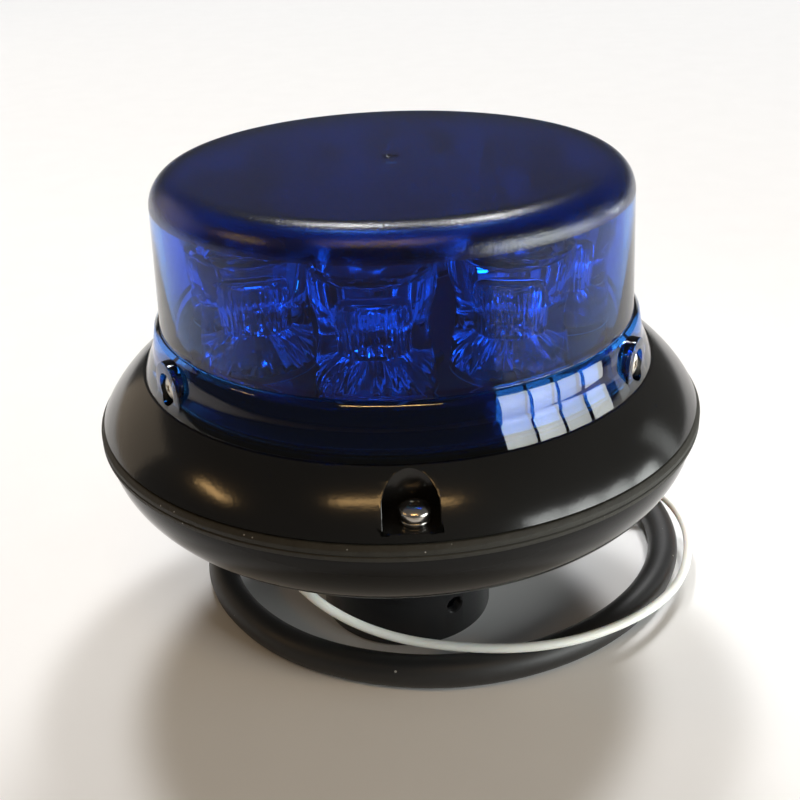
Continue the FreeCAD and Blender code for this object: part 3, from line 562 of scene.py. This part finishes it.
def cross_head(name, head_r, height, shank):
    """A pan-head screw on the Z axis, its seat at height 0, with a cross recess in its head."""
    screw = turned(
        name,
        [
            (0, -shank),
            (SHANK_R - POINT_INSET, -shank),
            (SHANK_R, -shank + POINT),
            (SHANK_R, 0),
            (head_r, 0, SEAT_ROUND),
            (head_r, height * HEAD_SIDE, height * HEAD_SIDE_ROUND),
            (head_r * HEAD_CROWN, height, head_r * HEAD_CROWN_ROUND),
            (0, height + HEAD_RISE),
        ],
        steps=64,
        closed=False,
    )
    bpy.ops.object.select_all(action="DESELECT")
    bpy.ops.mesh.primitive_cube_add(size=1)
    slot = bpy.context.object
    slot.scale = (RECESS_LONG * MM, RECESS_WIDE * MM, 2 * RECESS * MM)
    slot.location = (0, 0, (height + RECESS_PROUD) * MM)
    bpy.ops.object.transform_apply()
    bpy.ops.object.mode_set(mode="EDIT")
    pick(slot, lambda spot: spot.z < height * MM)
    bpy.ops.transform.resize(value=RECESS_TAPER, center_override=(0, 0, 0))
    bpy.ops.object.mode_set(mode="OBJECT")
    for turn in (0, 90):
        combine(screw, copy_at(slot, round_about(turn)), "DIFFERENCE")
    bpy.data.objects.remove(slot)
    return screw


def copies(obj, matrices):
    """Put copies of a piece at several places, joined into one object at the origin, and use the piece up."""
    made = [copy_at(obj, matrix) for matrix in matrices]
    name = obj.name
    bpy.data.objects.remove(obj)
    bpy.ops.object.select_all(action="DESELECT")
    for copy in made:
        copy.select_set(True)
    bpy.context.view_layer.objects.active = made[0]
    bpy.ops.object.join()
    made[0].name = name
    return made[0]


def on_bolt_circle(height, twists):
    """Places on the bolt circle at a height, each screw turned by its own amount."""
    return [
        round_about(angle) @ Matrix.Translation((0, -BOLT_R * MM, height * MM)) @ round_about(twist)
        for angle, twist in zip(POCKET_ANGLES, twists)
    ]


base_screws = cross_head("base_screws_piece", HEAD_R, HEAD_HEIGHT, SHANK)
base_screws = copies(base_screws, on_bolt_circle(POCKET_FLOOR + WASHER, BASE_SCREW_TWISTS))
fit(base_screws, "base_screws", "screw_steel", steel)
washers = turned(
    "washers_piece",
    [
        (WASHER_HOLE_R, 0, WASHER_ROUND_IN),
        (HEAD_R, 0, WASHER_ROUND_OUT),
        (HEAD_R, WASHER, WASHER_ROUND_OUT),
        (WASHER_HOLE_R, WASHER, WASHER_ROUND_IN),
    ],
    steps=64,
)
bpy.ops.mesh.primitive_cube_add(size=1)
gap = bpy.context.object
gap.scale = [side * MM for side in SPLIT_SIZE]
gap.location = (HEAD_R * MM, 0, 0)
gap.rotation_euler = (math.radians(SPLIT_SLANT), 0, 0)
bpy.ops.object.transform_apply()
combine(washers, gap, "DIFFERENCE")
washers = copies(washers, on_bolt_circle(POCKET_FLOOR, WASHER_TWISTS))
fit(washers, "spring_washers", "screw_steel", steel)


# Light board: black round board on the housing's deck with one light source under each optic,
# held by four dark screws between the optics.
dark_screw = finish(
    "blackened steel", (0.02, 0.02, 0.022), (0.05, 0.05, 0.055), (0.25, 0.4),
    grain=2000.0, bump=0.1, metallic=0.8,
)
led_dome = finish(
    "light source dome", (0.02, 0.02, 0.025), (0.05, 0.05, 0.06), (0.08, 0.15), grain=600.0, bump=0.02,
)
keep("led_board", board_mask)
keep("leds", led_dome)
keep("board_screws", dark_screw)


# Optics: clear glossy mouldings, one over each light source. A bell-shaped hollow with a pleated foot and
# a fluted barrel stands inside a waisted body, and a dish sunk into the top throws the light sideways.
OPTIC_COUNT = 8
OPTIC_R = 12.8
OPTIC_GAP = 0.05
OPTIC_FOOT = 1.2
OPTIC_WAIST_R = 10.9
OPTIC_WAIST = 15.5
OPTIC_WAIST_ROUND = 12.0
OPTIC_BOWL = 21.5
OPTIC_BOWL_ROUND = 10.0
OPTIC_TOP = 28.4
OPTIC_EDGE = 0.3
DISH_R = 11.5
DISH_FLOOR = OPTIC_TOP - 5.2
DISH_FLAT = 1.2
DISH_CURVE = 15.0
BELL_R = 11.9
BELL_FOOT = 1.6
BELL_NEAR = 0.3
BARREL_R = 4.9
BARREL_FOOT = 8.8
BARREL_FOOT_ROUND = 0.5
BARREL_TOP = 21.0
BARREL_ROUND = 1.2
WALL_NEAR = 0.1
# The optic's upright columns of vertices: a pattern of so many is repeated round it, in which some are drawn in
COLUMNS = 96
PLEAT_PATTERN, PLEAT_COLUMNS, PLEAT = 12, (0, 4, 5, 9), 0.98
FLUTE_PATTERN, FLUTE_COLUMNS, FLUTE = 8, (1, 4), 0.965

optic = turned(
    "optic_piece",
    [
        (0, BARREL_TOP),
        (BARREL_R, BARREL_TOP, BARREL_ROUND),
        (BARREL_R, BARREL_FOOT, BARREL_FOOT_ROUND),
        (BELL_R, BELL_FOOT),
        (BELL_R, OPTIC_GAP),
        (OPTIC_R, OPTIC_GAP),
        (OPTIC_R, OPTIC_FOOT),
        (OPTIC_WAIST_R, OPTIC_WAIST, OPTIC_WAIST_ROUND),
        (OPTIC_R, OPTIC_BOWL, OPTIC_BOWL_ROUND),
        (OPTIC_R, OPTIC_TOP, OPTIC_EDGE),
        (DISH_R, OPTIC_TOP),
        arc_corner((DISH_R, OPTIC_TOP), (DISH_FLAT, DISH_FLOOR), DISH_CURVE, -1),
        (DISH_FLAT, DISH_FLOOR),
        (0, DISH_FLOOR),
    ],
    steps=COLUMNS,
    closed=False,
)


def on_bell(spot):
    """The lower edge of the hollow bell."""
    return abs(spot.z - BELL_FOOT * MM) < WALL_NEAR * MM and spot.xy.length < (BELL_R + BELL_NEAR) * MM


def on_barrel(spot):
    """The upright wall of the hollow bell."""
    inside, outside = (BARREL_R - WALL_NEAR) * MM, (BARREL_R + WALL_NEAR) * MM
    return inside < spot.xy.length < outside and spot.z < BARREL_TOP * MM


def draw_in(pattern, columns, test, share):
    """Move the vertices of some of the optic's columns towards its axis, where a test holds."""
    def chosen(spot):
        column = round(math.atan2(spot.y, spot.x) / math.tau * COLUMNS)
        return column % pattern in columns and test(spot)

    take(optic)
    bpy.ops.object.mode_set(mode="EDIT")
    pick(optic, chosen)
    bpy.ops.transform.resize(value=(share, share, 1), center_override=(0, 0, 0))
    bpy.ops.object.mode_set(mode="OBJECT")


draw_in(PLEAT_PATTERN, PLEAT_COLUMNS, on_bell, PLEAT)
draw_in(FLUTE_PATTERN, FLUTE_COLUMNS, on_barrel, FLUTE)
clear = finish(
    "clear moulding", (0.9, 0.93, 0.96), (0.97, 0.98, 1.0), (0.0, 0.03),
    grain=300.0, bump=0.02, transmission_weight=1.0, ior=1.49,
)
frosted = finish(
    "frosted underside", (0.6, 0.64, 0.68), (0.78, 0.82, 0.86), (0.5, 0.65),
    grain=900.0, bump=0.3, patches=300.0,
)
BOARD_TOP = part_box("led_board")[1].z
for number in range(1, OPTIC_COUNT + 1):
    low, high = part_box(f"optic_{number}")
    centre = (low + high) / 2
    turn = math.atan2(centre.x, -centre.y)
    spot = Matrix.Translation((centre.x, centre.y, BOARD_TOP)) @ Matrix.Rotation(turn, 4, "Z")
    copy = copy_at(optic, spot)
    copy.name = f"optic_{number}_piece"
    fit(copy, f"optic_{number}", "optic_clear", clear, frosted)
    for face in copy.data.polygons:
        if face.center.z < BOARD_TOP + 2 * OPTIC_GAP * MM:
            face.material_index = 1
bpy.data.objects.remove(optic)


# Lens seal: soft rubber ring in the groove of the housing's neck. The skirt of the lens hides it,
# and presses on its crowned edge to keep water out.
keep("lens_seal", rubber)


# Lens: one moulding of clear deep-blue plastic. The smooth glossy wall stands on a narrow sloped ledge and a
# flared skirt with three screw ears. The flat top and its round rim are finely textured.
LENS_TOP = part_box("lens")[1].z / MM
LENS_R = 55.4
LENS_TAPER = 1.3
LENS_WALL = 2.3
LEDGE = 85.6
LEDGE_ROUND = 0.3
LEDGE_SLOPE = ((55.9, 85.6), (56.2, 85.3), (56.5, 84.97), (56.78, 84.62))
LEDGE_IN_ROUND = 2.0
BEND = 79.3
BEND_R = 57.7
BEND_CURVE = 6.0
SKIRT_R = 60.3
SKIRT_ROUND = 0.3
SKIRT_IN = 57.2
SKIRT_IN_ROUND = 0.2
SKIRT_FOOT = 2.0
SKIRT_FOOT_ROUND = 0.6
RIM_ROUND = 7.0
RIM = LENS_TOP - RIM_ROUND
WALL_IN = LENS_R - LENS_WALL
EAR_ANGLES = (60, 180, 300)
EAR_FACE = 59.0
EAR_WIDTH = 12.2
EAR_HEIGHT = 10.7
EAR_FOOT_BACK = 58.2
EAR_TOP_BACK = 55.0
EAR_BLOCK_BACK = EAR_TOP_BACK - 1
EAR_EDGE = 0.35
EAR_SCREW_HEIGHT = 78.7
EAR_SEAT = 57.2
EAR_HOLE_R = SHANK_R + 0.2
EAR_HOLE_DEPTH = 4
COUNTERBORE_R = 3.55
COUNTERBORE_ROUND = 0.2
COUNTERBORE_REACH = 6
GATE_R = 1.9
GATE_FLOOR = LENS_TOP - 0.5
GATE_FLOOR_ROUND = 0.3
GATE_ROUND = 0.2
# Rings that keep the flat top flat in smooth shading, and the rise of the direction that outer faces look in
FLAT_IN = 2.7
FLAT_OUT = 46.4
OUTER_RISE = 0.05

lens = turned(
    "lens_piece",
    [
        (0, GATE_FLOOR),
        (GATE_R, GATE_FLOOR, GATE_FLOOR_ROUND),
        (GATE_R, LENS_TOP, GATE_ROUND),
        (FLAT_IN, LENS_TOP),
        (FLAT_OUT, LENS_TOP),
        (LENS_R - LENS_TAPER, LENS_TOP, RIM_ROUND),
        (LENS_R, LEDGE, LEDGE_ROUND),
        *LEDGE_SLOPE,
        (BEND_R, BEND, BEND_CURVE),
        (SKIRT_R, SHOULDER, SKIRT_ROUND),
        (SKIRT_IN, SHOULDER, SKIRT_IN_ROUND),
        (SKIRT_IN, SHOULDER + SKIRT_FOOT, SKIRT_FOOT_ROUND),
        (WALL_IN, LEDGE, LEDGE_IN_ROUND),
        (WALL_IN - LENS_TAPER, LENS_TOP - LENS_WALL, RIM_ROUND - LENS_WALL),
        (FLAT_OUT, LENS_TOP - LENS_WALL),
        (0, LENS_TOP - LENS_WALL),
    ],
    steps=240,
    closed=False,
)


def ear_block():
    """A round-topped ear whose back leans like the skirt, so that it ends inside the skirt's wall."""
    ear = arched_block(EAR_WIDTH, EAR_HEIGHT, SHOULDER, EAR_BLOCK_BACK, EAR_FACE)
    lean = Vector((0, EAR_HEIGHT, EAR_TOP_BACK - EAR_FOOT_BACK)).normalized()
    bpy.ops.object.mode_set(mode="EDIT")
    bpy.ops.mesh.select_all(action="SELECT")
    bpy.ops.mesh.bisect(
        plane_co=(0, -EAR_FOOT_BACK * MM, SHOULDER * MM), plane_no=lean, use_fill=True, clear_outer=True,
    )
    bpy.ops.object.mode_set(mode="OBJECT")
    edge = ear.modifiers.new("edge", "BEVEL")
    edge.width = EAR_EDGE * MM
    edge.segments = 3
    bpy.ops.object.modifier_apply(modifier="edge")
    return ear


ear = ear_block()
drill = turned(
    "drill",
    [
        (0, -EAR_HOLE_DEPTH),
        (EAR_HOLE_R, -EAR_HOLE_DEPTH),
        (EAR_HOLE_R, 0),
        (COUNTERBORE_R, 0, COUNTERBORE_ROUND),
        (COUNTERBORE_R, COUNTERBORE_REACH),
        (0, COUNTERBORE_REACH),
    ],
    steps=48,
    closed=False,
)
place(drill, facing_front(EAR_SEAT, EAR_SCREW_HEIGHT))
for angle in EAR_ANGLES:
    combine(lens, copy_at(ear, round_about(angle)), "UNION")
    combine(lens, copy_at(drill, round_about(angle)), "DIFFERENCE")
bpy.data.objects.remove(ear)
bpy.data.objects.remove(drill)
clear_blue = finish(
    "clear blue moulding", (0.025, 0.22, 0.78), (0.035, 0.25, 0.86), (0.0, 0.02),
    grain=200.0, bump=0.01, patches=25.0, transmission_weight=1.0, ior=1.49,
)
matte_blue = finish(
    "textured blue moulding", (0.008, 0.03, 0.105), (0.011, 0.038, 0.125), (0.2, 0.26),
    grain=1600.0, bump=0.4, patches=25.0, transmission_weight=1.0, ior=1.49,
)
fit(lens, "lens", "lens_blue", clear_blue, matte_blue)
for face in lens.data.polygons:
    if face.center.z > RIM * MM and face.normal.dot(Vector((*face.center.xy, OUTER_RISE))) > 0:
        face.material_index = 1


# Lens screws: small cross-head screws with dull zinc plating, one in the counterbore of each ear.
# They are driven straight in towards the axis, into the housing's neck.
LENS_HEAD_R = 2.65
LENS_HEAD_HEIGHT = 1.4
LENS_SHANK = 4.4
LENS_SCREW_TWISTS = (35, 5, 60)
lens_screws = cross_head("lens_screws_piece", LENS_HEAD_R, LENS_HEAD_HEIGHT, LENS_SHANK)
lens_screws = copies(
    lens_screws,
    [
        round_about(angle) @ facing_front(EAR_SEAT, EAR_SCREW_HEIGHT) @ round_about(twist)
        for angle, twist in zip(EAR_ANGLES, LENS_SCREW_TWISTS)
    ],
)
dull_zinc = finish(
    "dull zinc plating", (0.62, 0.58, 0.5), (0.8, 0.76, 0.68), (0.34, 0.46),
    grain=2600.0, bump=0.1, metallic=1.0,
)
fit(lens_screws, "lens_screws", "screw_steel", dull_zinc)


# Supply lead: round black jacketed cable. It leaves the gland straight down, lies in one loose loop round
# the tube on the floor and ends behind the beacon with its stripped cores.
LEAD_R = 4.0
LEAD_ROUTE = [
    (0, 44, 37.5), (0, 44, 28), (-3.5, 47, 18.5), (-12.5, 53.5, 10.5), (-26.5, 56.5, 5.6), (-40.5, 48.5, 4.1),
    (-49.5, 33, 4.1), (-51.5, 14, 4.1), (-46, -5, 4.1), (-33, -22.5, 4.1), (-15, -33.5, 4.1), (7, -38.5, 4.1),
    (30, -35, 4.1), (51, -23.5, 4.1), (67, -5, 4.1), (74.5, 17, 4.1), (72, 41, 4.1), (58, 61, 4.1),
    (37, 75, 4.1), (13, 82.5, 4.1), (-11, 85, 4.1), (-34, 83, 4.1), (-55, 76.5, 4.1),
]


def laid(name, route, radius, material, sides):
    """A round cord along the smooth line that its route gives. Sides is how finely its section is divided."""
    curve = bpy.data.curves.new(name, "CURVE")
    curve.dimensions = "3D"
    line = curve.splines.new("NURBS")
    line.points.add(len(route) - 1)
    for point, spot in zip(line.points, route):
        point.co = (spot[0] * MM, spot[1] * MM, spot[2] * MM, 1)
    line.order_u = 3
    line.use_endpoint_u = True
    curve.resolution_u = 10
    curve.bevel_depth = radius * MM
    curve.bevel_resolution = sides
    curve.use_fill_caps = True
    curve.materials.append(material)
    cord = bpy.data.objects.new(name, curve)
    bpy.context.collection.objects.link(cord)
    return cord


jacket = finish(
    "black cable jacket", (0.012, 0.012, 0.0125), (0.02, 0.02, 0.0205), (0.38, 0.55),
    grain=900.0, bump=0.2, patches=60.0, dust={"Scale": 220.0, "Share": 0.9},
)
lead = laid("lead", LEAD_ROUTE, LEAD_R, jacket, sides=8)
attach(lead, "root")
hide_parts("supply_cable")
copper = finish(
    "stripped copper", (0.6, 0.28, 0.14), (0.75, 0.4, 0.22), (0.25, 0.4),
    grain=3000.0, bump=0.3, metallic=1.0,
)
keep("cable_cores", copper)


# Nylon tie: natural nylon strap with its locking head behind the tube. It comes down past the tube's left side,
# lies along the lead in front and turns up round the lead on the right.
TIE_WIDTH = 2.3
TIE_ROUTE = [
    (-21.5, 36, 27), (-27.5, 28, 27), (-33, 15, 27.8), (-35, -2, 27.6), (-32, -18, 26), (-25, -27.5, 21.5),
    (-15, -30, 14.5), (-3, -32.6, 10.4), (10, -35.6, 9.6), (24, -37.6, 9.6), (38, -36, 9.5), (51, -30, 8.8),
    (62.5, -21, 7.4), (72, -9, 6.2), (78, 5, 6), (80, 18, 7), (76.5, 28.5, 9.8), (66.5, 33.5, 11.5),
    (53, 37, 13), (39, 42, 16), (26, 48.5, 20), (13, 54, 24), (0, 55.5, 26.5), (-11, 50, 27), (-18.5, 40, 27),
]
nylon = finish(
    "natural nylon", (0.92, 0.89, 0.8), (0.96, 0.94, 0.87), (0.35, 0.5),
    grain=1500.0, bump=0.1, patches=80.0, subsurface_weight=0.15,
)
tie = laid("tie", TIE_ROUTE, TIE_WIDTH / 2, nylon, sides=4)
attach(tie, "root")
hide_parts("tie_strap")
keep("tie_head", nylon)


# Studio: a plain pale floor in a dim grey room. Warm ceiling lamps, window panes, a pale wall, two low strips
# level with the optics and two soft lamps behind light the beacon, and a camera looks down on it from the front.
FLOOR_SIDE = 12.0
WARM = (1.0, 0.62, 0.25)
COOL = (0.94, 0.98, 0.96)
BEIGE = (1.0, 0.8, 0.58)
WHITE = (1.0, 1.0, 1.0)
# Degrees round from the front and up, length or sides in metres, and watts
CEILING_LAMPS = ((-6.5, 54.5, 0.82, 2.46), (-79, 30, 0.3, 0.9))
CEILING_DISTANCE = 1.3
CEILING_WIDTH = 0.04
WINDOW_PANES = (
    (46, 8.8, 0.141, 0.33, 0.165),
    (60, 7.0, 0.13, 0.29, 0.145),
    (73.5, 5.0, 0.13, 0.25, 0.095),
    (87.5, 2.3, 0.13, 0.19, 0.07),
    (104, 7.5, 0.087, 0.3, 0.012),
)
WINDOW_DISTANCE = 0.62
WINDOW_SPREAD = 60
WALL_DIRECTION = (-126, 12)
WALL_DISTANCE = 1.4
WALL_SIZE = (0.9, 0.7)
WALL_POWER = 1.1
STRIPS = ((180, 0.1), (118, 0.035))
STRIP_DISTANCE = 0.35
STRIP_SIZE = (0.13, 0.016)
STRIP_AIM = (0, 0, 0.095)
STRIP_SPREAD = 5
SOFT_LAMPS = (("soft lamp behind", 150, (0.398, 0.683, 0)), ("second soft lamp behind", 190, (-0.137, 0.778, 0)))
SOFT_RISE = 60
SOFT_DISTANCE = 1.0
SOFT_SIZE = (3.2, 1.6)
SOFT_POWER = 9.0
SOFT_SPREAD = 16
ROOM_COLOUR = (1.0, 0.98, 0.96, 1)
ROOM_LIGHT = 0.09
CAMERA_PLACE = (-0.0079, -0.2513, 0.182)
CAMERA_PITCH = 26.13
CAMERA_TURN = -1.8
CAMERA_ROLL = -2.23
CAMERA_LENS = 50.82

bpy.ops.object.select_all(action="DESELECT")
bpy.ops.mesh.primitive_plane_add(size=FLOOR_SIDE)
floor = bpy.context.object
floor.name = "floor"
pale_floor = finish("pale floor", (0.84, 0.84, 0.84), (0.88, 0.88, 0.88), (0.7, 0.8), grain=40.0, bump=0.0)
floor.data.materials.append(pale_floor)


def panel(name, direction, distance, size, colour, power, aim=(0, 0, 0.07), spread=180):
    """A soft rectangular lamp that faces a point. Direction is (degrees round from the front, degrees up)."""
    lamp = bpy.data.lights.new(name, "AREA")
    lamp.shape = "RECTANGLE"
    lamp.size, lamp.size_y = size
    lamp.color = colour
    lamp.energy = power
    lamp.spread = math.radians(spread)
    turn, rise = (math.radians(a) for a in direction)
    spot = Vector((math.sin(turn) * math.cos(rise), -math.cos(turn) * math.cos(rise), math.sin(rise)))
    holder = bpy.data.objects.new(name, lamp)
    holder.location = spot * distance + Vector(aim)
    holder.rotation_euler = spot.to_track_quat("Z", "Y").to_euler()
    bpy.context.collection.objects.link(holder)


for turn, rise, length, power in CEILING_LAMPS:
    panel("ceiling lamp", (turn, rise), CEILING_DISTANCE, (length, CEILING_WIDTH), WARM, power)
for turn, rise, width, height, power in WINDOW_PANES:
    panel("window pane", (turn, rise), WINDOW_DISTANCE, (width, height), COOL, power, spread=WINDOW_SPREAD)
panel("pale wall at the left", WALL_DIRECTION, WALL_DISTANCE, WALL_SIZE, BEIGE, WALL_POWER)
for turn, power in STRIPS:
    panel(
        "low strip level with the optics", (turn, 0), STRIP_DISTANCE, STRIP_SIZE, WHITE, power,
        aim=STRIP_AIM, spread=STRIP_SPREAD,
    )
for name, turn, aim in SOFT_LAMPS:
    panel(name, (turn, SOFT_RISE), SOFT_DISTANCE, SOFT_SIZE, WHITE, SOFT_POWER, aim=aim, spread=SOFT_SPREAD)

world = bpy.data.worlds.new("room")
bpy.context.scene.world = world
world.use_nodes = True
room = world.node_tree.nodes["Background"]
room.inputs["Color"].default_value = ROOM_COLOUR
room.inputs["Strength"].default_value = ROOM_LIGHT

camera = bpy.data.cameras.new("camera")
camera.sensor_width = 36
camera.lens = CAMERA_LENS
viewer = bpy.data.objects.new("camera", camera)
look = Euler((math.radians(90 - CAMERA_PITCH), 0, math.radians(CAMERA_TURN))).to_matrix().to_4x4()
roll = Matrix.Rotation(math.radians(CAMERA_ROLL), 4, "Z")
viewer.matrix_world = Matrix.Translation(CAMERA_PLACE) @ look @ roll
bpy.context.collection.objects.link(viewer)
bpy.context.scene.camera = viewer
bpy.context.scene.view_settings.view_transform = "Standard"
